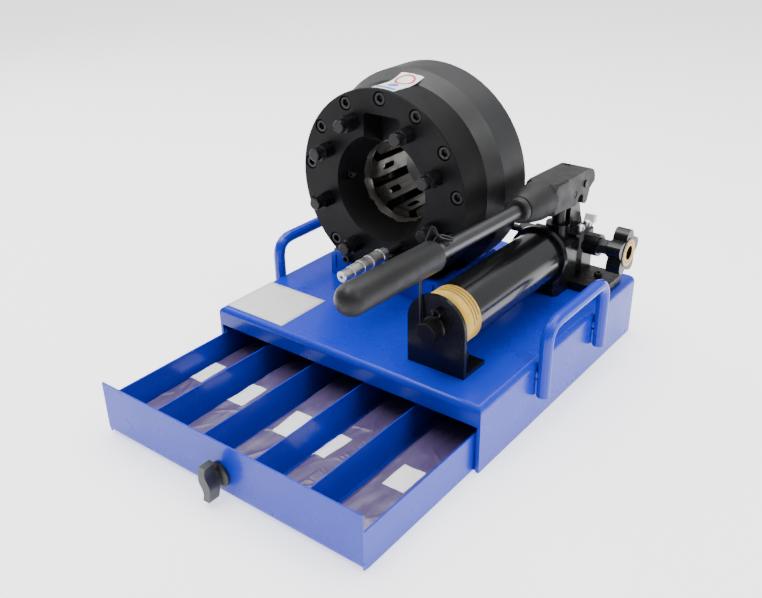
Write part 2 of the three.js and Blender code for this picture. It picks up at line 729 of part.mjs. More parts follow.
// The lug that carries the lever's pivot, as an outline in Y and Z.
function lugOutline() {
  const { y, z, lug } = PIVOT;
  const outline = new THREE.Shape();
  outline.moveTo(y - 14, BLOCK.top - 10);
  outline.lineTo(y + 34, BLOCK.top - 10);
  outline.quadraticCurveTo(y + 20, BLOCK.top + 12, y + lug, z - 14);
  outline.lineTo(y + lug, z);
  outline.absarc(y, z, lug, 0, 2 * QUARTER);
  outline.lineTo(y - lug, z - 18);
  outline.quadraticCurveTo(y - lug, BLOCK.top + 8, y - 14, BLOCK.top - 10);
  return outline;
}

function octagonOutline([x0, y0], [x1, y1], cut) {
  const corners = [
    [x0 + cut, y0], [x1 - cut, y0], [x1, y0 + cut], [x1, y1 - cut],
    [x1 - cut, y1], [x0 + cut, y1], [x0, y1 - cut], [x0, y0 + cut],
  ];
  return new THREE.Shape(corners.map(([x, y]) => new THREE.Vector2(x, y)));
}

function pumpBlock() {
  const { half, back, top, footHalf, footFront, footBack, footTop } = BLOCK;
  const bottom = CABINET_TOP + GAP;
  const front = PUMP.blockFront;
  const linkY = PIVOT.y + LINK.y;
  const valveReach = VALVE.bossEnd - PUMP.x;
  const outletReach = PUMP.x - OUTLET.end - OUTLET.nut;
  const collar = turned([
    [0, front - 9],
    [PUMP.tubeRadius - PUMP.tubeWall - GAP, front - 9],
    [PUMP.tubeRadius - PUMP.tubeWall - GAP, front],
    [39, front],
    [40, front + 1],
    [40, front + 7],
    [34, front + 16],
    [0, front + 16],
  ], 40).translate(0, 0, PUMP.axis);
  const body = joined(
    collar,
    flatPlate(roundedOutline([-footHalf, footFront], [footHalf, footBack], [5, 5, 5, 5]), bottom, footTop),
    flatPlate(octagonOutline([-half, front + 8], [half, back], 6), bottom, top - 4),
    flatPlate(octagonOutline([-4, PIVOT.y - 20], [31, PIVOT.y + 24], 7), footTop - 4, top),
    sidePlate(lugOutline(), -PIVOT.lugHalf, PIVOT.lugHalf, 5),
    alongZ(rod(PLUNGER.gland, top - 8, PLUNGER.glandTop, 28)).translate(0, linkY, 0),
    alongX(rod(VALVE.boss, 10, valveReach, 24)).translate(0, VALVE.y, VALVE.z),
    alongX(rod(13, -outletReach, -10, 24)).translate(0, OUTLET.y, OUTLET.z),
  );
  const tools = [
    alongZ(rod(PLUNGER.radius + GAP, PLUNGER.bottom - 4, PLUNGER.glandTop + OVERRUN, 24))
      .translate(0, linkY, 0),
    alongX(rod(VALVE.stem + GAP, valveReach - 16, valveReach + OVERRUN, 16)).translate(0, VALVE.y, VALVE.z),
    alongX(rod(PIVOT.pin + GAP, -20, 20, 20)).translate(0, PIVOT.y, PIVOT.z),
  ];
  return named('pump_block', carved(body, ...tools), blackPaint);
}

// The rigid pipe from the pump's outlet to the port in the head's rear wall, with a nut at each end.
function pressurePipe() {
  const start = OUTLET.end + OUTLET.nut - PUMP.x - GAP;
  const port = OUTLET.portX - PUMP.x;
  const corners = [
    new THREE.Vector3(start - 2, OUTLET.y, OUTLET.z),
    new THREE.Vector3(port, OUTLET.y, OUTLET.z),
    new THREE.Vector3(port, HEAD.rear + 4, OUTLET.z),
  ];
  const pipe = wireAlong(bentPath(corners, OUTLET.bend), OUTLET.pipe, 12, 16);
  const portNut = polygonBar(18, 6, HEAD.rear + GAP, OUTLET.portFront).translate(port, 0, OUTLET.z);
  const end = start - OUTLET.nut;
  const fitting = alongX(joined(
    polygonBar(2 * OUTLET.radius, 6, end + 6, start),
    turned([[0, end], [8, end], [8.6, end + 1], [8.6, end + 7], [0, end + 7]], 18),
  )).translate(0, OUTLET.y, OUTLET.z);
  return named('pressure_pipe', joined(pipe, portNut, fitting), blackenedSteel);
}

// Knob outline with five lobes, in Y and Z.
function starOutline() {
  const lobes = 5;
  const valley = 20.5;
  const phase = THREE.MathUtils.degToRad(84.6);
  const rise = VALVE.knobRadius - valley;
  const points = [];
  for (let k = 0; k < lobes * 12; k += 1) {
    const angle = (2 * Math.PI * k) / (lobes * 12);
    const radius = valley + rise * (0.5 + 0.5 * Math.cos(lobes * angle)) ** 0.6;
    points.push(new THREE.Vector2(radius * Math.cos(angle + phase), radius * Math.sin(angle + phase)));
  }
  return new THREE.Shape(points);
}

function releaseSpindle() {
  const seat = VALVE.bossEnd - PUMP.x + GAP;
  const spindle = joined(
    rod(VALVE.stem, seat - 14, VALVE.knobFace - PUMP.x - 8),
    turned([[0, seat], [11, seat], [11, seat + 2], [0, seat + 2]], 24),
    polygonBar(19, 6, seat + 1, seat + 11),
  );
  return named('release_spindle', alongX(spindle).translate(0, VALVE.y, VALVE.z), blackenedSteel);
}

function releaseKnob() {
  const back = VALVE.knobBack - PUMP.x;
  const face = VALVE.knobFace - PUMP.x;
  const hub = alongX(turned([[0, back - 7], [11, back - 7], [14, back + 1], [14, back + 5], [0, back + 5]]));
  const knob = carved(
    joined(sidePlate(starOutline(), back, face - 1), hub, alongX(rod(20, face - 3, face, 32))),
    alongX(rod(VALVE.stem + GAP, back - 12, face - 7, 16)),
    alongX(rod(9.5, face - 5, face + OVERRUN, 24)),
  );
  return named('release_knob', knob.translate(0, VALVE.y, VALVE.z), blackPaint);
}

// The pump plunger: a round bar with a flat head whose long hole takes the lever's lower pin.
function plunger() {
  const y = PIVOT.y + LINK.y;
  const z = PIVOT.z + LINK.z;
  const shoulder = z - 22;
  const head = roundedOutline([y - 10, shoulder], [y + 13.5, z + 10], [3, 3, 8, 8]);
  const hole = roundedOutline([y - 6.4, z - 5.6], [y + 10, z + 5.6], [5.5, 5.5, 5.5, 5.5]);
  const shaft = alongZ(rod(PLUNGER.radius, PLUNGER.bottom, shoulder + 4, 24)).translate(0, y, 0);
  const body = joined(shaft, sidePlate(head, -PIVOT.lugHalf, PIVOT.lugHalf, 5));
  return named('plunger', carved(body, sidePlate(hole, -20, 20, 5)), blackenedSteel);
}

function pump() {
  return groupAt([PUMP.x, 0, 0],
    pumpBracket(), bracketPlug(), reservoirTube(), pumpBlock(), pressurePipe(),
    releaseSpindle(), releaseKnob(), plunger(),
  );
}

// ---------------------------------------------------------------- lever
// Built around the pivot pin at the origin, with the lever running towards -Y.

const TILT = THREE.MathUtils.degToRad(LEVER.rise);

// The link pin's place seen from the tilted lever.
function linkPlace() {
  return new THREE.Vector3(0, LINK.y, LINK.z).applyAxisAngle(new THREE.Vector3(1, 0, 0), TILT);
}

// The cheeks' outline in Y and Z: a rounded rear end, a heel below the pivot and a scallop in front.
function cheekOutline(front, bottom, top) {
  const outline = new THREE.Shape();
  outline.moveTo(front, bottom);
  outline.lineTo(-24, bottom - 2);
  outline.quadraticCurveTo(-20, bottom - 1, -17, bottom + 6);
  outline.quadraticCurveTo(-10, bottom + 14, -4, bottom + 5);
  outline.lineTo(-4, bottom + 1);
  outline.absarc(3.5, bottom + 1, 7.5, 2 * QUARTER, 3.6 * QUARTER);
  outline.lineTo(15, bottom + 12);
  outline.lineTo(24.5, top - 21);
  outline.absarc(9.5, top - 18, 18, -0.2, QUARTER);
  outline.lineTo(front, top);
  return outline;
}

function leverHead() {
  const { head, drop, slot, bar, neckEnd, castEnd, flat } = LEVER;
  const top = 20.7 - drop;
  const bottom = -18.5 - drop;
  const shoulder = castEnd - 34;
  const neck = turned([
    [0, neckEnd], [16.4, neckEnd], [17.4, neckEnd + 1.5], [20, neckEnd + 9], [22.5, neckEnd + 22],
    [24.3, neckEnd + 35], [24.6, shoulder + 4], [0, shoulder + 4],
  ]).translate(0, 0, -drop);
  const rounding = turned([
    [0, shoulder], [25, shoulder], [28.5, shoulder + 5], [29.5, shoulder + 12],
    [29.5, castEnd + 4], [0, castEnd + 4],
  ]).translate(0, 0, -drop);
  const section = roundedOutline([-head - 1, bottom - 1], [head + 1, top + 1], [4, 4, 4, 4]);
  const shank = common(uprightPlate(section, shoulder, castEnd, 4), rounding);
  const cheeks = sidePlate(cheekOutline(flat, bottom, top), -head, head, 6);
  const cast = joined(neck, shank, cheeks);
  const tools = [
    block([-slot, -50, bottom - 15], [slot, 50, PIVOT.lug + 1]),
    rod(bar + GAP, neckEnd - OVERRUN, -64, 28).translate(0, 0, -drop),
    alongX(rod(PIVOT.pin + 0.05 + GAP, -head - OVERRUN, head + OVERRUN)),
    alongX(rod(LINK.pin + 0.05 + GAP, -head - OVERRUN, head + OVERRUN)).translate(...linkPlace()),
    block([-16, 4, top - 12], [-6, 10, top + OVERRUN]),
  ];
  return named('lever_head', carved(cast, ...tools), castGrey);
}

function leverBar() {
  const bar = rod(LEVER.bar, GRIP.tip + 13, -64.5, 32);
  return named('lever_bar', bar.translate(0, 0, -LEVER.drop), brightSteel);
}

function leverGrip() {
  const { radius, rear, tip } = GRIP;
  const inner = LEVER.bar + GAP;
  const round = 10;
  const profile = [];
  for (let k = 0; k <= round; k += 1) {
    const angle = (QUARTER * k) / round;
    profile.push([radius * Math.sin(angle), tip + radius * (1 - Math.cos(angle))]);
  }
  profile.push([radius, rear - 5], [radius - 1.5, rear - 1.4], [radius - 5, rear]);
  profile.push([inner, rear], [inner, tip + 12.5], [0, tip + 12.5]);
  return named('lever_grip', turned(profile, 32).translate(0, 0, -LEVER.drop), gripRubber);
}

// A pin across the lever's cheeks.
function crossPin(name, radius, overhang, material) {
  const reach = LEVER.head + overhang;
  return named(name, alongX(rod(radius, -reach, reach)), material);
}

// The wire catch that hangs over the bar behind the grip and reaches down to the bracket's plug.
// Its points are in the pump's own frame, before the lever's tilt.
function leverHook() {
  const { foot, peak, crossing } = HOOK;
  const points = [
    [-17.3, -165, foot], [-17.6, -165, foot + 14], [-18.8, -164, foot + 40], [-20.5, -161, foot + 68],
    [-20.8, -156, foot + 92], [-18, -151, foot + 108], [-15.4, -149, peak - 3], [-14, -147.4, peak],
    [-12.2, -146.6, peak - 5], [-9, -146.6, crossing + 3], [-3, -146.8, crossing], [4, -146.6, crossing],
    [7.6, -144.8, crossing - 0.6], [7.6, -141.6, crossing - 0.6], [4, -140, crossing], [-3, -140.2, crossing],
    [-9, -141, crossing], [-13, -142, crossing - 3], [-15.5, -142.6, crossing - 8],
  ].map(([x, y, z]) => new THREE.Vector3(x, y, z));
  const path = new THREE.CatmullRomCurve3(points, false, 'centripetal');
  return named('lever_hook', wireAlong(path, HOOK.wire, 8, 54), blackPaint);
}

function lever() {
  const tilted = groupAt([0, 0, 0], leverHead(), leverBar(), leverGrip());
  tilted.add(crossPin('lever_pivot_pin', PIVOT.pin, 2, blackenedSteel));
  const link = crossPin('lever_link_pin', LINK.pin, -GAP, castGrey);
  link.position.copy(linkPlace());
  tilted.add(link);
  tilted.rotation.x = -TILT;
  tilted.position.set(PUMP.x, PIVOT.y, PIVOT.z);
  return tilted;
}

// ---------------------------------------------------------------- the whole press

const press = new THREE.Group();
press.add(cabinet(), drawer(), crimpingHead(), cradle(), pump(), lever());
press.add(groupAt([PUMP.x, 0, 0], leverHook()));

export default press;
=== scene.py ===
"""A bench-top hose crimping press on its die cabinet: materials, small details, bagged dies and studio."""

import json
import math
import random

import bpy
from mathutils import Matrix, Vector, noise


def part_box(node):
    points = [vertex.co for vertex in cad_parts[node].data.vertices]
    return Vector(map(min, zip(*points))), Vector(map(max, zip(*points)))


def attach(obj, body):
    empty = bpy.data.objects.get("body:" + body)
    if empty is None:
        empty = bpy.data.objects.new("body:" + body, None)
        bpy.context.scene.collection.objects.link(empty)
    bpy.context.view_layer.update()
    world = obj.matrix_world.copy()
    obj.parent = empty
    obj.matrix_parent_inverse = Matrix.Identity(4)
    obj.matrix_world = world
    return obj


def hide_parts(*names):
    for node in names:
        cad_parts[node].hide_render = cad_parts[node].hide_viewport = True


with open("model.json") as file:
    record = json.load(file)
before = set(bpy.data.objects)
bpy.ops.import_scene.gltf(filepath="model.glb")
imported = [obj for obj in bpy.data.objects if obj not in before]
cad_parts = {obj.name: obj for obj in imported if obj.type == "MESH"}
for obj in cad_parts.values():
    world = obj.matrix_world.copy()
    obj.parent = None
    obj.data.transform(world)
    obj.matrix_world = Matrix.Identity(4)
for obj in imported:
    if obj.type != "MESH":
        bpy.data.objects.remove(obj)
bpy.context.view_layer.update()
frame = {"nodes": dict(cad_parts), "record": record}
nodes = frame["nodes"]
MM = 0.001


def middle(name):
    """The middle of a CAD node's box."""
    low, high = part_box(name)
    return (low + high) / 2


# Places and sizes that the details are worked out from, all read off the frame.
HEAD = middle("head_cylinder")
FLANGE_LOW, FLANGE_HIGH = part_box("front_flange")
FLANGE_RADIUS = (FLANGE_HIGH.x - FLANGE_LOW.x) / 2
CYLINDER_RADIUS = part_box("head_cylinder")[1].x - HEAD.x
CABINET_LOW, CABINET_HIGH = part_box("cabinet_cover")
TUBE = middle("reservoir_tube")
TUBE_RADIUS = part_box("reservoir_tube")[1].x - TUBE.x
BRACKET_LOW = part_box("pump_bracket")[0]
BLOCK_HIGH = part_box("pump_block")[1]
BLOCK_TOP = TUBE.z + 14 * MM
KNOB_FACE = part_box("release_knob")[1].x
SPINDLE = middle("release_spindle")
PIVOT = middle("lever_pivot_pin")
COVER_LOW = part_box("rear_cover")[0]
DIE_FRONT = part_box("master_die_1")[0].y
# The dies stand every 45 degrees round the bore, the first a little below the level.
DIE_COUNT = 8
DIE_PHASE = -4.2
FLANGE_BORE = 53.5 * MM
SCREW_COUNT = 13
SCREW_CIRCLE = 116 * MM
SCREW_PHASE = 6.6
# The lever rises towards its grip, and its bar's axis passes below the pivot.
LEVER_RISE = math.radians(2.28)
LEVER_DROP = 2.7 * MM


# ---------------------------------------------------------------- materials


class Surface:
    """A procedural material: one shader and the small graph of textures that feeds it."""

    def __init__(self, name, colour, roughness, **values):
        self.material = bpy.data.materials.new(name)
        self.material.use_nodes = True
        self.tree = self.material.node_tree
        self.shader = self.tree.nodes["Principled BSDF"]
        self.shader.inputs["Base Color"].default_value = (*colour, 1)
        self.shader.inputs["Roughness"].default_value = roughness
        for socket, value in values.items():
            self.shader.inputs[socket.replace("_", " ")].default_value = value
        self.place = self.node("ShaderNodeTexCoord").outputs["Object"]

    def node(self, kind, links=None, **settings):
        """A new node with its settings made and its inputs fed."""
        made = self.tree.nodes.new(kind)
        for setting, value in settings.items():
            setattr(made, setting, value)
        for socket, value in (links or {}).items():
            self.feed(made.inputs[socket], value)
        return made

    def feed(self, socket, value):
        """Links a socket to another node's output, or sets its value."""
        if isinstance(value, bpy.types.NodeSocket):
            self.tree.links.new(value, socket)
        else:
            socket.default_value = value

    def stretched(self, scale):
        """The object's own coordinates, scaled per axis."""
        return self.node("ShaderNodeMapping", {"Vector": self.place, "Scale": scale}).outputs[0]

    def noise(self, scale, detail=4.0, stretch=(1, 1, 1), roughness=0.5):
        """Cloudy noise, so many clouds to the metre."""
        links = {"Vector": self.stretched(stretch), "Scale": scale, "Detail": detail, "Roughness": roughness}
        return self.node("ShaderNodeTexNoise", links).outputs["Fac"]

    def ranged(self, value, low, high, to_low=0.0, to_high=1.0):
        """The value mapped from low..high to to_low..to_high, held at the ends."""
        links = {0: value, 1: low, 2: high, 3: to_low, 4: to_high}
        return self.node("ShaderNodeMapRange", links).outputs[0]

    def maths(self, operation, first, second=0.0):
        return self.node("ShaderNodeMath", {0: first, 1: second}, operation=operation).outputs[0]

    def mixed(self, factor, first, second):
        """A blend of two colours, each a colour or another node's output."""
        made = self.node("ShaderNodeMix", data_type="RGBA")
        self.feed(made.inputs[0], factor)
        self.feed(made.inputs[6], first if isinstance(first, bpy.types.NodeSocket) else (*first, 1))
        self.feed(made.inputs[7], second if isinstance(second, bpy.types.NodeSocket) else (*second, 1))
        return made.outputs[2]

    def axis(self, name, source=None):
        """One of the object's own coordinates."""
        return self.node("ShaderNodeSeparateXYZ", {0: source or self.place}).outputs[name]

    def colour(self, value):
        self.feed(self.shader.inputs["Base Color"], value)

    def rough(self, value):
        self.feed(self.shader.inputs["Roughness"], value)

    def bump(self, height, depth):
        """Raises the surface by depth metres where height is 1, on top of any bump made before."""
        links = {"Height": height, "Distance": depth, "Strength": 1.0}
        made = self.node("ShaderNodeBump", links)
        normal = self.shader.inputs["Normal"]
        if normal.is_linked:
            self.tree.links.new(normal.links[0].from_socket, made.inputs["Normal"])
        self.tree.links.new(made.outputs[0], normal)


def paint(name, colour, worn, roughness, peel, coat, shine=0.32, crinkled_below=None):
    """Powder coat: an orange-peel surface with a clear top layer, crinkled on a casting's foot."""
    made = Surface(name, colour, roughness, Coat_Weight=coat, Coat_Roughness=0.1, Specular_IOR_Level=shine)
    made.colour(made.mixed(made.ranged(made.noise(5, 5), 0.3, 0.8), colour, worn))
    made.rough(made.ranged(made.noise(30, 4), 0.3, 0.7, roughness - 0.03, roughness + 0.05))
    made.bump(made.noise(420, 2), peel)
    made.bump(made.noise(1700, 2), peel * 0.3)
    if crinkled_below is not None:
        foot = made.maths("LESS_THAN", made.axis("Z"), crinkled_below)
        made.bump(made.maths("MULTIPLY", made.noise(170, 5, roughness=0.65), foot), 2.4 * MM)
    return made.material


def blackened_steel(name, shades, roughness, shine, bare_within=None):
    """Black oxide on turned steel: satin, with fine rings from the lathe, rubbed bare round the bore."""
    made = Surface(name, shades[0], roughness, Specular_IOR_Level=shine)
    cloud = made.ranged(made.noise(16, 6), 0.3, 0.7)
    oxide = made.mixed(cloud, shades[0], shades[1])
    made.rough(made.ranged(made.noise(45, 6), 0.3, 0.75, roughness - 0.06, roughness + 0.08))
    if bare_within is not None:
        across = made.maths("SUBTRACT", made.axis("X"), HEAD.x)
        upward = made.maths("SUBTRACT", made.axis("Z"), HEAD.z)
        squares = made.maths("ADD", made.maths("POWER", across, 2.0), made.maths("POWER", upward, 2.0))
        reach = made.maths("SQRT", squares)
        ragged = made.maths("ADD", reach, made.ranged(made.noise(90, 5), 0.2, 0.8, -1.2 * MM, 1.2 * MM))
        bare = made.maths("LESS_THAN", ragged, bare_within)
        oxide = made.mixed(bare, oxide, (0.5, 0.48, 0.44))
        made.feed(made.shader.inputs["Metallic"], bare)
    made.colour(oxide)
    made.bump(made.noise(700, 3, stretch=(0.05, 1.6, 0.05)), 0.02 * MM)
    made.bump(made.noise(2400, 3), 0.012 * MM)
    return made.material


def cast_grey():
    """Fine castings under satin grey paint."""
    made = Surface("cast_grey_look", (0.06, 0.061, 0.063), 0.5, Specular_IOR_Level=0.28)
    made.colour(made.mixed(made.noise(30, 6), (0.01, 0.01, 0.0103), (0.018, 0.018, 0.0187)))
    made.rough(made.ranged(made.noise(70, 5), 0.3, 0.7, 0.42, 0.58))
    made.bump(made.noise(900, 5, roughness=0.7), 0.09 * MM)
    made.bump(made.noise(140, 3), 0.12 * MM)
    return made.material


def machined_steel(name, light, dark, roughness, grain=(1, 1, 1), patchy=1.0, greasy_front=None):
    """Bare steel with the cutter's grain and, on the dies, dark grease towards the front."""
    made = Surface(name, light, roughness, Metallic=1.0)
    streak = made.ranged(made.noise(160, 6, stretch=grain), 0.3, 0.7)
    metal = made.mixed(streak, light, dark)
    dull, bright = roughness + 0.14 * patchy, roughness - 0.08 * patchy
    roughened = made.ranged(made.noise(80, 6), 0.3, 0.75, bright, dull)
    if greasy_front is not None:
        edge = made.maths("ADD", made.axis("Y"), made.ranged(made.noise(60, 6), 0.2, 0.8, -6 * MM, 6 * MM))
        clean = made.ranged(edge, greasy_front - 3 * MM, greasy_front + 3 * MM)
        metal = made.mixed(clean, (0.03, 0.027, 0.024), metal)
        made.bump(made.maths("MULTIPLY", made.noise(260, 5), made.maths("SUBTRACT", 1.0, clean)), 0.6 * MM)
    made.colour(metal)
    made.rough(roughened)
    made.bump(made.noise(900, 4, stretch=grain), 0.004 * MM * patchy)
    return made.material


def rubber(name, colour, pale, roughness, grain, shine=0.5):
    """Rubber or moulded plastic with a fine, slightly mottled grain."""
    made = Surface(name, colour, roughness, Specular_IOR_Level=shine)
    made.colour(made.mixed(made.ranged(made.noise(22, 6), 0.3, 0.75), colour, pale))
    made.rough(made.ranged(made.noise(90, 5), 0.3, 0.7, roughness - 0.06, roughness + 0.08))
    made.bump(made.noise(1300, 4, roughness=0.7), grain)
    return made.material


def bag_film():
    """Tinted plastic film: a smooth grey-violet with paler, clouded folds and fine creases."""
    made = Surface("bag_film_look", (0.1, 0.07, 0.15), 0.36, Coat_Weight=0.25, Coat_Roughness=0.2)
    cloud = made.ranged(made.noise(26, 6, stretch=(1, 0.5, 1)), 0.35, 0.72)
    tint = made.mixed(cloud, (0.062, 0.04, 0.115), (0.1, 0.07, 0.165))
    crease = made.ranged(made.noise(150, 5, stretch=(1, 0.3, 1)), 0.6, 0.8)
    made.colour(made.mixed(made.maths("MULTIPLY", crease, 0.2), tint, (0.3, 0.26, 0.38)))
    made.rough(made.ranged(made.noise(55, 5), 0.3, 0.7, 0.28, 0.46))
    made.bump(made.noise(110, 5, stretch=(1, 0.35, 1)), 0.45 * MM)
    made.bump(made.noise(420, 4, stretch=(1, 0.5, 1)), 0.16 * MM)
    return made.material


def paper(name, colour, roughness=0.4):
    """Printed vinyl: an even colour with the faint unevenness of a label stuck down by hand."""
    made = Surface(name, colour, roughness, Coat_Weight=0.2)
    dirty = tuple(0.88 * value for value in colour)
    made.colour(made.mixed(made.ranged(made.noise(70, 5), 0.4, 0.8), colour, dirty))
    made.bump(made.noise(260, 3), 0.05 * MM)
    return made.material


def ruled_paper():
    """A white data label with a grey grid of empty table rows."""
    made = Surface("data_label_look", (0.8, 0.8, 0.8), 0.35, Coat_Weight=0.3)
    across = made.axis("X")
    along = made.axis("Y")
    row_height, column_width = 4.2 * MM, 24.25 * MM
    row = made.maths("FRACT", made.maths("MULTIPLY", along, 1 / row_height))
    column = made.maths("FRACT", made.maths("MULTIPLY", across, 1 / column_width))
    lines = made.maths("MAXIMUM", made.maths("LESS_THAN", row, 0.12), made.maths("LESS_THAN", column, 0.025))
    smudge = made.maths("MULTIPLY", made.ranged(made.noise(900, 3, stretch=(0.4, 1, 1)), 0.5, 0.56), 0.3)
    ink = made.maths("MAXIMUM", lines, smudge)
    made.colour(made.mixed(made.maths("MULTIPLY", ink, 0.6), (0.8, 0.8, 0.8), (0.3, 0.3, 0.33)))
    made.bump(made.noise(200, 3), 0.05 * MM)
    return made.material


def studio_floor():
    """The floor of a white studio, bright enough to fade into its walls."""
    made = Surface("studio_floor_look", (0.94, 0.94, 0.95), 0.6, Emission_Strength=1.3)
    made.shader.inputs["Emission Color"].default_value = (0.98, 0.985, 1, 1)
    made.colour(made.mixed(made.noise(3, 4), (0.93, 0.93, 0.94), (0.95, 0.95, 0.96)))
    return made.material


# Pairs of shades that a finish varies between.
OXIDE = ((0.009, 0.009, 0.0095), (0.015, 0.015, 0.016))
# The flange's pair is the head's oxide painted darker: painted shade on the flange's face, which turns
# towards the dim front.
SHADED_OXIDE = ((0.006, 0.006, 0.0065), (0.011, 0.011, 0.0115))
BLACK = ((0.004, 0.004, 0.005), (0.006, 0.006, 0.007))
DULL_STEEL = ((0.12, 0.12, 0.122), (0.1, 0.1, 0.102))
BLUE = ((0.003, 0.022, 0.46), (0.004, 0.025, 0.48))
FOOT_TOP = CABINET_HIGH.z + 13 * MM

LOOKS = {
    "blue_paint": paint("blue_paint_look", *BLUE, 0.28, 0.012 * MM, 0.16),
    "black_paint": paint("black_paint_look", *BLACK, 0.24, 0.012 * MM, 0.06),
    "blackened_steel": blackened_steel("blackened_steel_look", OXIDE, 0.42, 0.4),
    "cast_grey": cast_grey(),
    "bare_steel": machined_steel("bare_steel_look", (0.34, 0.33, 0.31), (0.2, 0.19, 0.18), 0.36),
    "bright_steel": machined_steel("bright_steel_look", (0.8, 0.8, 0.8), (0.62, 0.62, 0.62), 0.34),
    "seal_rubber": rubber("seal_rubber_look", (0.004, 0.004, 0.004), (0.008, 0.008, 0.008), 0.5, 0.04 * MM),
    "grip_rubber": rubber("grip_rubber_look", *OXIDE, 0.42, 0.06 * MM, 0.24),
    "dark_plastic": rubber("dark_plastic_look", (0.012, 0.012, 0.013), (0.02, 0.02, 0.021), 0.4, 0.08 * MM),
    "bag_film": bag_film(),
}
NUT_STEEL = blackened_steel("nut_steel_look", BLACK, 0.26, 0.22)
SCREW_STEEL = blackened_steel("screw_steel_look", BLACK, 0.38, 0.3)

# Nodes whose own wear or finish sets them apart from the rest of their slot, and the flange, whose darker
# colour is painted shade.
OWN_LOOKS = {
    # The flange: darker oxide as painted shade on its face, with real wear rubbed bare round the bore.
    "front_flange": blackened_steel("flange_look", SHADED_OXIDE, 0.44, 0.1, FLANGE_BORE + 1.5 * MM),
    "reservoir_tube": paint("tube_paint_look", *BLACK, 0.2, 0.004 * MM, 0.3, 0.45),
    "pump_block": paint("pump_block_look", *BLACK, 0.26, 0.03 * MM, 0.12, 0.2, FOOT_TOP),
    "lever_bar": machined_steel("bar_steel_look", *DULL_STEEL, 0.3, (1, 0.01, 1), 0.2),
    "plunger": SCREW_STEEL,
    "lever_pivot_pin": SCREW_STEEL,
    "lever_link_pin": LOOKS["cast_grey"],
    "lever_hook": SCREW_STEEL,
}
DIE_STEEL = machined_steel(
    "die_steel_look", (0.12, 0.115, 0.105), (0.06, 0.055, 0.05), 0.4, (1, 0.06, 1),
    greasy_front=DIE_FRONT + 9 * MM)
for number in range(1, DIE_COUNT + 1):
    OWN_LOOKS[f"master_die_{number}"] = DIE_STEEL
    OWN_LOOKS[f"tie_nut_{number}"] = NUT_STEEL
WHITE_PAPER = paper("white_label_look", (0.9, 0.9, 0.9))
YELLOW_PAPER = paper("yellow_label_look", (0.7, 0.42, 0.03))
RED_PAPER = paper("red_print_look", (0.6, 0.05, 0.02))
BLUE_PAPER = paper("blue_print_look", (0.1, 0.2, 0.65))
GREY_PAPER = paper("grey_print_look", (0.12, 0.1, 0.06))
WHITE_PLASTIC = paper("white_plastic_look", (0.72, 0.72, 0.68), 0.45)


def dress_frame():
    """Gives each CAD node its look, welded corners and softly broken edges."""
    for subpart in frame["record"]["subparts"]:
        dressed = nodes[subpart["node"]]
        slot = subpart["material_slot"]
        dressed.data.materials.clear()
        dressed.data.materials.append(OWN_LOOKS.get(subpart["node"], LOOKS[slot]))
        break_edges(dressed, edge_width(subpart["node"], slot))


def edge_width(name, slot):
    """How wide a node's broken edges are: narrow on sheet metal and small pieces, wide on castings."""
    if name in ("cabinet_cover", "drawer_tray") or name.startswith("drawer_divider"):
        return 0.25 * MM
    if name.startswith("lever_hook") or name.startswith("piston"):
        return 0.2 * MM
    if slot == "cast_grey" or name in ("pump_block", "release_knob"):
        return 1.2 * MM
    return 0.45 * MM


def break_edges(dressed, width):
    """Joins the faceted solid's loose corners, shades it smooth and bevels its sharp edges."""
    mesh = dressed.data
    if "custom_normal" in mesh.attributes:
        mesh.attributes.remove(mesh.attributes["custom_normal"])
    mesh.polygons.foreach_set("use_smooth", [True] * len(mesh.polygons))
    if "sharp_edge" in mesh.attributes:
        mesh.attributes.remove(mesh.attributes["sharp_edge"])
    weld = dressed.modifiers.new("weld", "WELD")
    weld.merge_threshold = 0.002 * MM
    flat = dressed.modifiers.new("flat faces", "DECIMATE")
    flat.decimate_type = "DISSOLVE"
    flat.angle_limit = math.radians(0.6)
    bevel = dressed.modifiers.new("broken edges", "BEVEL")
    bevel.width = width
    bevel.segments = 2
    bevel.limit_method = "ANGLE"
    bevel.angle_limit = math.radians(26)
    bevel.harden_normals = True
    bevel.use_clamp_overlap = True


# ---------------------------------------------------------------- mesh building


def made_object(name, points, faces, look, body):
    """A mesh piece in the frame's own coordinates that rides on a CAD body."""
    mesh = bpy.data.meshes.new(name)
    mesh.from_pydata([tuple(point) for point in points], [], faces)
    mesh.polygons.foreach_set("use_smooth", [True] * len(mesh.polygons))
    mesh.validate()
    mesh.materials.append(look)
    made = bpy.data.objects.new(name, mesh)
    bpy.context.scene.collection.objects.link(made)
    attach(made, body)
    return made


def tube_faces(rings, around):
    """The faces of a closed tube whose points are rings, one after the other."""
    faces = []
    for ring in range(rings - 1):
        low = ring * around
        for k in range(around):
            after = (k + 1) % around
            faces.append((low + k, low + after, low + around + after, low + around + k))
    faces.append(tuple(reversed(range(around))))
    faces.append(tuple(range((rings - 1) * around, rings * around)))
    return faces


def sheet_faces(columns, rows):
    """The faces of a thin closed sheet: a grid of outer points, then the same grid of inner points."""
    wide = columns + 1
    layer = wide * (rows + 1)
    faces = []
    for j in range(rows):
        for i in range(columns):
            a = j * wide + i
            faces.append((a, a + 1, a + wide + 1, a + wide))
            faces.append((layer + a + wide, layer + a + wide + 1, layer + a + 1, layer + a))
    rim = list(range(wide))
    rim += [j * wide + columns for j in range(1, rows + 1)]
    rim += [rows * wide + i for i in range(columns - 1, -1, -1)]
    rim += [j * wide for j in range(rows - 1, 0, -1)]
    for here, after in zip(rim, rim[1:] + rim[:1]):
        faces.append((here, layer + here, layer + after, after))
    return faces


def facing(direction):
    """The turn that takes +Z to a direction."""
    return Vector(direction).to_track_quat("Z", "Y").to_matrix()


def hexagon(angle):
    """A hexagon's radius at an angle, for an apothem of 1."""
    return 1 / math.cos((angle + math.pi / 6) % (math.pi / 3) - math.pi / 6)


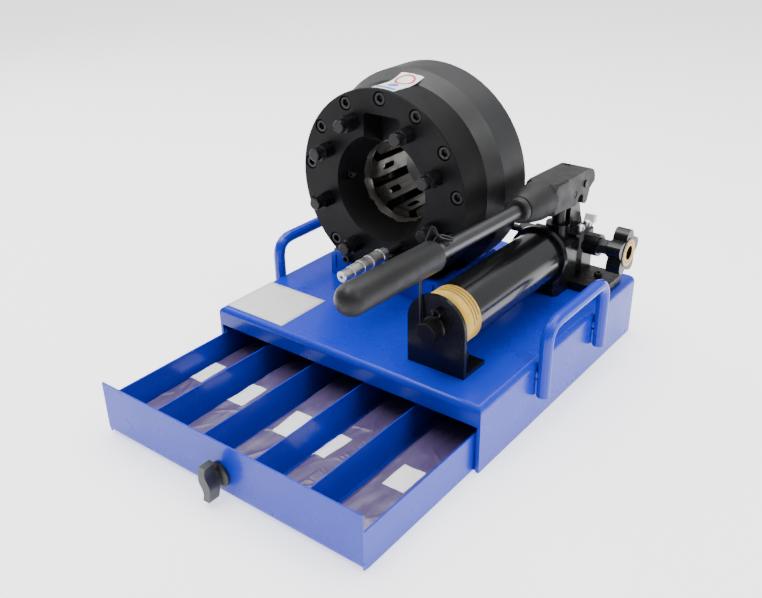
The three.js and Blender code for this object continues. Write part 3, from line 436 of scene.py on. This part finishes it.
def spun(name, rings, place, direction, look, body, around=48):
    """A closed piece of rings (height, radius, "round" or "hex") stacked from a place along a direction."""
    turn = facing(direction)
    points = []
    for height, radius, shape in rings:
        for k in range(around):
            angle = 2 * math.pi * k / around
            reach = radius * (hexagon(angle) if shape == "hex" else 1)
            points.append(turn @ Vector((reach * math.cos(angle), reach * math.sin(angle), height)) + place)
    made = made_object(name, points, tube_faces(len(rings), around), look, body)
    sharpen(made)
    return made


def sharpen(made, angle=32):
    """Keeps edges sharper than the angle crisp while the rest is shaded smooth."""
    made.data.set_sharp_from_angle(angle=math.radians(angle))


def socket_screw(name, place, direction, radius, height, look, body):
    """A socket cap screw's head: straight side, broken rim and a hexagon socket."""
    key = radius * 0.5
    rings = [
        (-0.2 * MM, radius, "round"),
        (height - 0.09 * radius, radius, "round"),
        (height, radius * 0.9, "round"),
        (height, key * 1.12, "hex"),
        (height - 0.06 * radius, key, "hex"),
        (height * 0.35, key, "hex"),
        (height * 0.28, key * 0.4, "hex"),
    ]
    return spun(name, rings, place, direction, look, body)


def swept(name, path, radius, look, body, lumps=0.0, around=12, seed=0):
    """A closed tube along a path, whose radius can be lumpy like a weld bead."""
    points = []
    chance = random.Random(seed)
    for index, place in enumerate(path):
        ahead = path[min(index + 1, len(path) - 1)] - path[max(index - 1, 0)]
        turn = facing(ahead)
        end = min(index, len(path) - 1 - index)
        taper = 0.35 if end == 0 else (0.8 if end == 1 else 1.0)
        size = radius * taper * (1 + lumps * chance.uniform(-1, 1))
        for k in range(around):
            angle = 2 * math.pi * k / around
            points.append(turn @ Vector((size * math.cos(angle), size * math.sin(angle), 0)) + place)
    return made_object(name, points, tube_faces(len(path), around), look, body)


def line(start, end, steps):
    """Evenly spaced points from start to end."""
    start, end = Vector(start), Vector(end)
    return [start.lerp(end, k / steps) for k in range(steps + 1)]


def patch(name, surface, columns, rows, thickness, outward, look, body):
    """A thin label: surface(u, v) gives its outer face and outward(u, v) the way it faces."""
    points = []
    for lift in (thickness, 0.02 * MM):
        for j in range(rows + 1):
            for i in range(columns + 1):
                u, v = i / columns, j / rows
                points.append(surface(u, v) + outward(u, v) * lift)
    return made_object(name, points, sheet_faces(columns, rows), look, body)


# ---------------------------------------------------------------- details of the head


def polar(angle, radius, y):
    """A point around the head's axis, the angle in degrees from +X towards +Z."""
    turn = math.radians(angle)
    return Vector((HEAD.x + radius * math.cos(turn), y, HEAD.z + radius * math.sin(turn)))


def flange_screws():
    """Thirteen cap screws sunk in the flange's counterbores."""
    bore_floor = FLANGE_LOW.y + 8.9 * MM
    radius, height = 8.2 * MM, 7.8 * MM
    for k in range(SCREW_COUNT):
        seat = polar(SCREW_PHASE + 360 / SCREW_COUNT * k, SCREW_CIRCLE, bore_floor)
        socket_screw(f"flange_screw_{k + 1}", seat, (0, -1, 0), radius, height,
                     SCREW_STEEL, "press_frame")


def recess_screw():
    """The screw at the bottom of the recess in the flange's mouth."""
    seat = polar(178, 63 * MM, FLANGE_LOW.y + 24.5 * MM)
    socket_screw("mouth_screw", seat, (0, -1, 0), 5 * MM, 6 * MM,
                 LOOKS["blackened_steel"], "press_frame")


def die_pins():
    """A bright spring pin near the front end of each die's slot."""
    slot_floor = 53 * MM
    from_front = 18.5 * MM
    rings = [(-0.2 * MM, 2.6 * MM, "round"), (6 * MM, 2.6 * MM, "round"), (6.8 * MM, 1.9 * MM, "round"),
             (6.8 * MM, 1.1 * MM, "hex"), (5.4 * MM, 1 * MM, "hex")]
    for k in range(DIE_COUNT):
        angle = 360 / DIE_COUNT * k + DIE_PHASE
        inward = HEAD - polar(angle, slot_floor, HEAD.y)
        seat = polar(angle, slot_floor + 0.2 * MM, DIE_FRONT + from_front)
        spun(f"die_pin_{k + 1}", rings, seat, inward, LOOKS["bright_steel"], f"master_die_{k + 1}",
             around=24)


def head_radius(y):
    """The head's outer radius: the flange, then the cone up to the cylinder."""
    cone_length = 22 * MM
    part = min(max((y - FLANGE_HIGH.y) / cone_length, 0), 1)
    return FLANGE_RADIUS + part * (CYLINDER_RADIUS - FLANGE_RADIUS)


def head_label():
    """A plain label over the top of the head with a red ring, a blue disc and a blue bar.

    It is stuck to the flange and, past the seam, to the cone behind it, and is bent gently between."""
    left, right = 96.5, 81.5
    front, back = FLANGE_LOW.y + 5 * MM, FLANGE_HIGH.y + 16 * MM
    twist = -1.6
    half = (left - right) / 2
    centre = (left + right) / 2
    length = back - front

    def spot(angle, y):
        bend = [head_radius(y + shift * MM) for shift in range(-16, 17, 2)]
        return polar(angle + twist * (y - front) / length, sum(bend) / len(bend), y)

    def out(angle):
        return polar(angle, 1, HEAD.y) - HEAD

    def printed(name, at, columns, rows, lift, look, facing_angle=None):
        def outward(u, v):
            return out(facing_angle(u) if facing_angle else centre)
        patch(name, at, columns, rows, lift, outward, look, "press_frame")

    def across(share):
        return lambda u: centre + share * half * (1 - 2 * u)

    def ring(name, along, small, large, look):
        """A printed ring: its angle runs with u and its radius with v."""
        def at(u, v):
            turn = -2 * math.pi * u
            reach = small + (large - small) * v
            angle = centre + math.degrees(reach * math.cos(turn) / FLANGE_RADIUS)
            return spot(angle, along + reach * math.sin(turn))
        printed(name, at, 48, 3, 0.45 * MM, look)

    whole, inner = across(1), across(0.85)
    printed("head_label", lambda u, v: spot(whole(u), front + length * v), 20, 40, 0.25 * MM,
            WHITE_PAPER, whole)
    ring("head_label_ring", front + 0.7 * length, 10 * MM, 13 * MM, RED_PAPER)
    ring("head_label_disc", front + 0.34 * length, 0.5 * MM, 6.5 * MM, BLUE_PAPER)
    printed("head_label_bar", lambda u, v: spot(inner(u), front + (0.05 + 0.1 * v) * length), 16, 4,
            0.45 * MM, BLUE_PAPER, inner)


def rear_cover_screws():
    """Eight cap screws that hold the rear cover's ring."""
    count = 8
    pitch = 360 / count
    circle = 72 * MM
    for k in range(count):
        seat = polar(pitch * (k + 0.5), circle, COVER_LOW.y + 11.2 * MM)
        socket_screw(f"rear_cover_screw_{k + 1}", seat, (0, 1, 0), 5 * MM, 5 * MM,
                     LOOKS["blackened_steel"], "press_frame")


def cradle_details():
    """The cradle's clamping screw and the weld beads along its feet."""
    half_bead = 9 * MM
    low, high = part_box("cradle_front")
    screw = Vector((HEAD.x - 57 * MM, low.y - 0.3 * MM, high.z - 3 * MM))
    socket_screw("cradle_screw", screw, (0, -1, 0), 6.2 * MM, 9 * MM,
                 LOOKS["blackened_steel"], "press_frame")
    foot = CABINET_HIGH.z + 0.3 * MM
    for side, name in ((-1, "left"), (1, "right")):
        rail_low, rail_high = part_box(f"cradle_rail_{name}")
        x = rail_low.x if side < 0 else rail_high.x
        for k, part in enumerate((0.12, 0.5, 0.88)):
            y = rail_low.y + part * (rail_high.y - rail_low.y)
            start, end = (x, y - half_bead, foot), (x, y + half_bead, foot)
            weld(f"cradle_weld_{name}_{k + 1}", start, end, 1.9 * MM)


def weld(name, start, end, radius):
    """A short lumpy weld bead, painted over."""
    ripple = 1.3 * MM
    steps = max(8, round((Vector(end) - Vector(start)).length / ripple))
    seed = sum(ord(letter) * (k + 1) for k, letter in enumerate(name))
    return swept(name, line(start, end, steps), radius, LOOKS["blue_paint"], "press_frame",
                 lumps=0.16, seed=seed)


# ---------------------------------------------------------------- details of the cabinet and drawer


def handle_welds():
    """Two beads at each leg of both carry handles, where the tube meets the cabinet's side."""
    for side, name in ((-1, "left"), (1, "right")):
        low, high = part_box(f"carry_handle_{name}")
        tube = (high.x - low.x) / 2
        foot, top = low.z + 4 * MM, low.z + 34 * MM
        for leg, middle_y in (("front", low.y + tube), ("rear", high.y - tube)):
            for edge in (-1, 1):
                x = side * (CABINET_HIGH.x + 1.4 * MM)
                y = middle_y + edge * tube * 0.72
                bead = "a" if edge < 0 else "b"
                weld(f"handle_weld_{name}_{leg}_{bead}", (x, y, foot), (x, y, top), 2.1 * MM)


def data_label():
    """The white data label on the cabinet's top plate."""
    low = Vector((CABINET_LOW.x + 5 * MM, CABINET_LOW.y + 10 * MM, CABINET_HIGH.z))
    wide, deep = 97 * MM, 84 * MM
    patch("data_label", lambda u, v: low + Vector((wide * u, deep * v, 0)), 12, 12, 0.22 * MM,
          lambda u, v: Vector((0, 0, 1)), ruled_paper(), "press_frame")


class Bag:
    """A flat film bag with dies in it, filling one compartment of the drawer."""

    FOLDS = 26

    def __init__(self, index):
        self.index = index
        spread = Vector((1.5 * MM, 2 * MM, 0))
        inside_tray = 2.4 * MM
        tray_low, tray_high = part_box("drawer_tray")
        low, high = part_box(f"die_pack_{index}")
        self.low = low - spread
        self.high = high + spread
        self.low.x = max(self.low.x, tray_low.x + inside_tray)
        self.high.x = min(self.high.x, tray_high.x - inside_tray)
        chance = random.Random(40 + index)
        self.folds = [self.fold(chance) for _ in range(self.FOLDS)]
        self.offset = Vector((chance.uniform(0, 9), chance.uniform(0, 9), index * 3.1))

    def fold(self, chance):
        """One crease: where it starts, how it runs, its length, width and height."""
        x = chance.uniform(self.low.x, self.high.x)
        y = chance.uniform(self.low.y, self.high.y)
        angle = chance.gauss(math.pi / 2, 0.5)
        return (x, y, angle, chance.uniform(15, 60) * MM, chance.uniform(1.2, 3.2) * MM,
                chance.uniform(0.3, 1.1) * MM)

    def height(self, x, y):
        """The film's upper face above the drawer's floor at a place."""
        across = (x - self.low.x) / (self.high.x - self.low.x)
        along = (y - self.low.y) / (self.high.y - self.low.y)
        full = self.high.z - self.low.z
        # The film rises steeply from its sides and ends, and swells and wrinkles in between.
        side = max(0, min(1, across / 0.16, (1 - across) / 0.16))
        end = max(0, min(1, along / 0.07, (1 - along) / 0.05))
        body = side**0.5 * end**0.6
        broad = noise.noise(Vector((x * 22, y * 9, 0)) + self.offset)
        small = noise.noise(Vector((x * 90, y * 45, 2)) + self.offset)
        tall = full * (0.18 + 0.78 * body) + 2.6 * MM * broad * body + 0.8 * MM * small
        for fold_x, fold_y, angle, length, width, rise in self.folds:
            run = (x - fold_x) * math.cos(angle) + (y - fold_y) * math.sin(angle)
            off = -(x - fold_x) * math.sin(angle) + (y - fold_y) * math.cos(angle)
            off += 1.5 * MM * math.sin(run * 130)
            if abs(run) < length and abs(off) < 3 * width:
                tall += rise * math.exp(-(off / width) ** 2) * (1 - (run / length) ** 2)
        tall += self.crimps(across, x, y)
        return max(tall, 1.2 * MM)

    def crimps(self, across, x, y):
        """The row of short puckers along the seam of the fourth bag."""
        if self.index != 4:
            return 0.0
        seam = 0.62 + 0.05 * math.sin(y * 24)
        near = math.exp(-(((across - seam) / 0.045) ** 2))
        uneven = 0.5 + noise.noise(Vector((x * 30, y * 60, 7)))
        return 0.55 * MM * near * uneven * math.sin(y * 1250 + 9 * noise.noise(Vector((x * 50, y * 70, 0))))

    def top(self, x, y):
        """The point of the film above a place."""
        return Vector((x, y, self.low.z + self.height(x, y)))

    def build(self):
        """The bag as one closed skin, which stands for the plain CAD pack."""
        columns, rows = 44, 230
        points = []
        for j in range(rows + 1):
            y = self.low.y + (self.high.y - self.low.y) * j / rows
            for i in range(columns + 1):
                x = self.low.x + (self.high.x - self.low.x) * i / columns
                points.append(self.top(x, y))
        points += [Vector((point.x, point.y, self.low.z + 0.2 * MM)) for point in points]
        made = made_object(f"die_bag_{self.index}", points, sheet_faces(columns, rows), LOOKS["bag_film"],
                           "drawer")
        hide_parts(f"die_pack_{self.index}")

    def label(self, centre, size, angle):
        """A blank white size label stuck to the film."""
        turn = Matrix.Rotation(math.radians(angle), 2)

        def at(u, v):
            flat = turn @ Vector(((u - 0.5) * size[0], (v - 0.5) * size[1]))
            flat += Vector(centre)
            inside = min(max(flat.x, self.low.x + 0.3 * MM), self.high.x - 0.3 * MM)
            return self.top(inside, flat.y)

        patch(f"bag_label_{self.index}", at, 20, 30, 0.6 * MM, lambda u, v: Vector((0, 0, 1)), WHITE_PAPER,
              "drawer")


# Each bag's label, in millimetres and degrees: how far it lies from the middle of the bag's width and
# from the bag's front end, its width, its length and its twist.
BAG_LABELS = {
    1: (-14, 118, 23, 43, 0),
    2: (-12, 110, 25, 44, 2),
    3: (-3, 98, 23, 46, 4),
    4: (-19, 94, 23, 46, -4),
    5: (2, 95, 28, 41, 0),
}


def drawer_contents():
    """The five bags, each with its label."""
    for index, (aside, along, width, length, twist) in BAG_LABELS.items():
        bag = Bag(index)
        bag.build()
        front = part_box(f"die_pack_{index}")[0].y
        centre = (middle(f"die_pack_{index}").x + aside * MM, front + along * MM)
        bag.label(centre, (width * MM, length * MM), twist)


# ---------------------------------------------------------------- details of the pump and lever


def band_label():
    """The blank yellow band label near the front of the reservoir, with three printed lines."""
    front, back = BRACKET_LOW.y + 8 * MM, BRACKET_LOW.y + 40 * MM
    first, last = 168, -32
    line_width = 1.6 * MM

    def around(angle, radius, y):
        turn = math.radians(angle)
        return Vector((TUBE.x + radius * math.cos(turn), y, TUBE.z + radius * math.sin(turn)))

    def band(name, start, end, begin, finish, thick, look):
        patch(name, lambda u, v: around(begin + (finish - begin) * u, TUBE_RADIUS, start + (end - start) * v),
              60, 2, thick, lambda u, v: around(begin + (finish - begin) * u, 1, TUBE.y) - TUBE, look,
              "press_frame")

    band("band_label", front, back, first, last, 0.25 * MM, YELLOW_PAPER)
    for k in range(3):
        start = back - (5 + 5 * k) * MM
        band(f"band_label_line_{k + 1}", start, start + line_width, 100 + 6 * k, 18 - 8 * k, 0.4 * MM,
             GREY_PAPER)


def pump_screws():
    """The filler screw, the bracket's foot bolt, the pump foot's screw and the small caps on the block."""
    steel = LOOKS["blackened_steel"]
    black = LOOKS["black_paint"]
    filler = Vector((TUBE.x + 4 * MM, BRACKET_LOW.y - 0.2 * MM, TUBE.z + 20 * MM))
    socket_screw("filler_screw", filler, (0, -1, 0), 6 * MM, 7 * MM, black, "press_frame")
    foot = Vector((TUBE.x + 16 * MM, BRACKET_LOW.y + 35 * MM, CABINET_HIGH.z + 5.5 * MM))
    socket_screw("bracket_bolt", foot, (0, 0, 1), 5.5 * MM, 6 * MM, steel, "press_frame")
    base = Vector((BLOCK_HIGH.x - 24 * MM, PIVOT.y - 2 * MM, CABINET_HIGH.z + 11.7 * MM))
    socket_screw("pump_foot_screw", base, (0, 0, 1), 5.5 * MM, 5 * MM, steel, "press_frame")
    rings = [(-1 * MM, 5.8 * MM, "round"), (6 * MM, 5.8 * MM, "round"), (8.4 * MM, 5 * MM, "round"),
             (9.6 * MM, 3.2 * MM, "round"), (10 * MM, 0.8 * MM, "round")]
    for k in range(2):
        place = Vector((TUBE.x + 21 * MM, PIVOT.y + (20 * k - 5) * MM, BLOCK_TOP))
        spun(f"block_cap_{k + 1}", rings, place, (0.15, 0, 1), LOOKS["bright_steel"],
             "press_frame", around=32)


def rear_plug():
    """The pale plastic transport plug at the back of the pump block."""
    rings = [(-4 * MM, 5 * MM, "round"), (1 * MM, 5 * MM, "round"), (1 * MM, 7 * MM, "hex"),
             (12 * MM, 7 * MM, "hex"), (12.8 * MM, 6.2 * MM, "hex")]
    place = Vector((TUBE.x + 16 * MM, BLOCK_HIGH.y + 0.5 * MM, BLOCK_TOP - 3 * MM))
    spun("block_plug", rings, place, (0, 0.35, 0.94), WHITE_PLASTIC, "press_frame")


def knob_face():
    """The release knob's printed face: a yellow ring with two plain red arcs."""
    ring = ((0, 9.6), (0, 17.8), (0.35, 17.6), (0.35, 9.8))
    printed_ring("knob_face_ring", ring, YELLOW_PAPER)
    arc = ((0.3, 12.2), (0.3, 14.6), (0.5, 14.5), (0.5, 12.3))
    for k in range(2):
        printed_ring(f"knob_face_arc_{k + 1}", arc, RED_PAPER, 25 + 180 * k, 130)


def printed_ring(name, section, look, start=0, sweep=360):
    """A flat ring, or part of one, on the knob's face: its section is heights and radii in millimetres."""
    place = Vector((KNOB_FACE - 0.1 * MM, SPINDLE.y, SPINDLE.z))
    around = 48
    full = sweep == 360
    steps = around if full else around + 1
    points = []
    for height, radius in section:
        for k in range(steps):
            angle = math.radians(start + sweep * k / around)
            spoke = Vector((height, radius * math.cos(angle), radius * math.sin(angle)))
            points.append(place + spoke * MM)
    faces = []
    count = len(section)
    for ring in range(count):
        after_ring = (ring + 1) % count
        for k in range(around):
            after = (k + 1) % steps
            low, high = ring * steps, after_ring * steps
            faces.append((low + k, low + after, high + after, high + k))
    if not full:
        faces.append(tuple(ring * steps for ring in range(count)))
        faces.append(tuple(ring * steps + around for ring in reversed(range(count))))
    return made_object(name, points, faces, look, "release_valve")


def along_lever(world_y):
    """The point of the lever's bar axis at a world y."""
    rise = math.tan(LEVER_RISE)
    drop = LEVER_DROP / math.cos(LEVER_RISE)
    return Vector((PIVOT.x, world_y, PIVOT.z - drop - (world_y - PIVOT.y) * rise))


def lever_details():
    """The rubber collar where the bar enters the lever's head, and the dimple in the grip's tip."""
    axis = Vector((0, -math.cos(LEVER_RISE), math.sin(LEVER_RISE)))
    collar = [(0, 9.3 * MM), (0, 15 * MM), (1.5 * MM, 16.2 * MM), (7 * MM, 15.6 * MM), (8.5 * MM, 14 * MM),
              (8.5 * MM, 11 * MM), (8 * MM, 9.3 * MM)]
    rings = [(height, radius, "round") for height, radius in collar]
    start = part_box("lever_head")[0].y - 0.2 * MM
    spun("bar_collar", rings, along_lever(start), axis, LOOKS["seal_rubber"], "lever")
    tip = along_lever(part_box("lever_grip")[0].y + 0.4 * MM)
    dimple = [(-0.6 * MM, 3.6 * MM, "round"), (0.15 * MM, 3.4 * MM, "round"), (0.35 * MM, 2.9 * MM, "round"),
              (0.05 * MM, 2.2 * MM, "round"), (-0.3 * MM, 0.8 * MM, "round")]
    spun("grip_dimple", dimple, tip, axis, LOOKS["grip_rubber"], "lever", around=32)


# ---------------------------------------------------------------- studio


def floor():
    """A wide pale floor just under the cabinet."""
    half = 40
    mesh = bpy.data.meshes.new("floor")
    corners = ((-half, -half), (half, -half), (half, half), (-half, half))
    mesh.from_pydata([(x, y, -0.2 * MM) for x, y in corners], [], [(0, 1, 2, 3)])
    mesh.materials.append(studio_floor())
    made = bpy.data.objects.new("floor", mesh)
    bpy.context.scene.collection.objects.link(made)


def softbox(name, place, target, width, height, power):
    """A rectangular area light that faces a target."""
    light = bpy.data.lights.new(name, "AREA")
    light.shape = "RECTANGLE"
    light.size = width
    light.size_y = height
    light.energy = power
    made = bpy.data.objects.new(name, light)
    made.location = place
    made.rotation_euler = (Vector(target) - Vector(place)).to_track_quat("-Z", "Y").to_euler()
    bpy.context.scene.collection.objects.link(made)


def studio_walls():
    """A white room: bright overhead and behind, dim in front, with a bright strip at the horizon."""
    world = bpy.data.worlds.new("studio")
    world.use_nodes = True
    tree = world.node_tree
    background = tree.nodes["Background"]
    background.inputs["Color"].default_value = (0.97, 0.98, 1, 1)
    direction = tree.nodes.new("ShaderNodeTexCoord").outputs["Generated"]
    lean = tree.nodes.new("ShaderNodeVectorMath")
    lean.operation = "DOT_PRODUCT"
    lean.inputs[1].default_value = (-0.1, 0.62, 0.78)
    tree.links.new(direction, lean.inputs[0])
    height = tree.nodes.new("ShaderNodeSeparateXYZ")
    tree.links.new(direction, height.inputs[0])

    def ranged(value, interpolation, limits):
        """The value mapped from its first two limits to the last two."""
        made = tree.nodes.new("ShaderNodeMapRange")
        made.interpolation_type = interpolation
        tree.links.new(value, made.inputs[0])
        for socket, limit in zip(made.inputs[1:5], limits):
            socket.default_value = limit
        return made.outputs[0]

    dome = ranged(lean.outputs["Value"], "SMOOTHSTEP", (-0.5, 0.8, 0.06, 0.8))
    horizon = ranged(height.outputs["Z"], "LINEAR", (0.0, 0.12, 1.3, 0.0))
    brighter = tree.nodes.new("ShaderNodeMath")
    brighter.operation = "MAXIMUM"
    tree.links.new(dome, brighter.inputs[0])
    tree.links.new(horizon, brighter.inputs[1])
    tree.links.new(brighter.outputs[0], background.inputs["Strength"])
    bpy.context.scene.world = world


def lights():
    """A large overhead softbox, two at the sides and one above the photographer."""
    target = (0, 0, 0.12)
    softbox("overhead", (-0.2, 0.5, 2.1), target, 2.4, 1.8, 58)
    softbox("left", (-1.9, 0.1, 1.2), target, 1.0, 1.2, 16)
    softbox("right", (1.7, 0.15, 1.6), target, 1.0, 1.2, 20)
    softbox("front", (-0.35, -0.8, 2.2), target, 1.3, 0.9, 30)


def camera():
    """The photograph's viewpoint: in front, to the right and above, looking down at the head."""
    azimuth, elevation, roll = (math.radians(value) for value in (38.0, 27.31, -1.01))
    place = Vector((0.5984, -0.8774, 0.6211))
    back = Vector((math.sin(azimuth) * math.cos(elevation), -math.cos(azimuth) * math.cos(elevation),
                   math.sin(elevation)))
    right = Vector((math.cos(azimuth), math.sin(azimuth), 0))
    up = back.cross(right)
    across = right * math.cos(roll) + up * math.sin(roll)
    above = up * math.cos(roll) - right * math.sin(roll)
    data = bpy.data.cameras.new("camera")
    data.lens = 42.0
    data.sensor_width = 36
    made = bpy.data.objects.new("camera", data)
    turn = Matrix((across, above, back)).transposed()
    made.matrix_world = Matrix.Translation(place) @ turn.to_4x4()
    bpy.context.scene.collection.objects.link(made)
    bpy.context.scene.camera = made


dress_frame()
flange_screws()
recess_screw()
die_pins()
head_label()
rear_cover_screws()
cradle_details()
handle_welds()
data_label()
drawer_contents()
band_label()
pump_screws()
rear_plug()
knob_face()
lever_details()
floor()
studio_walls()
lights()
camera()
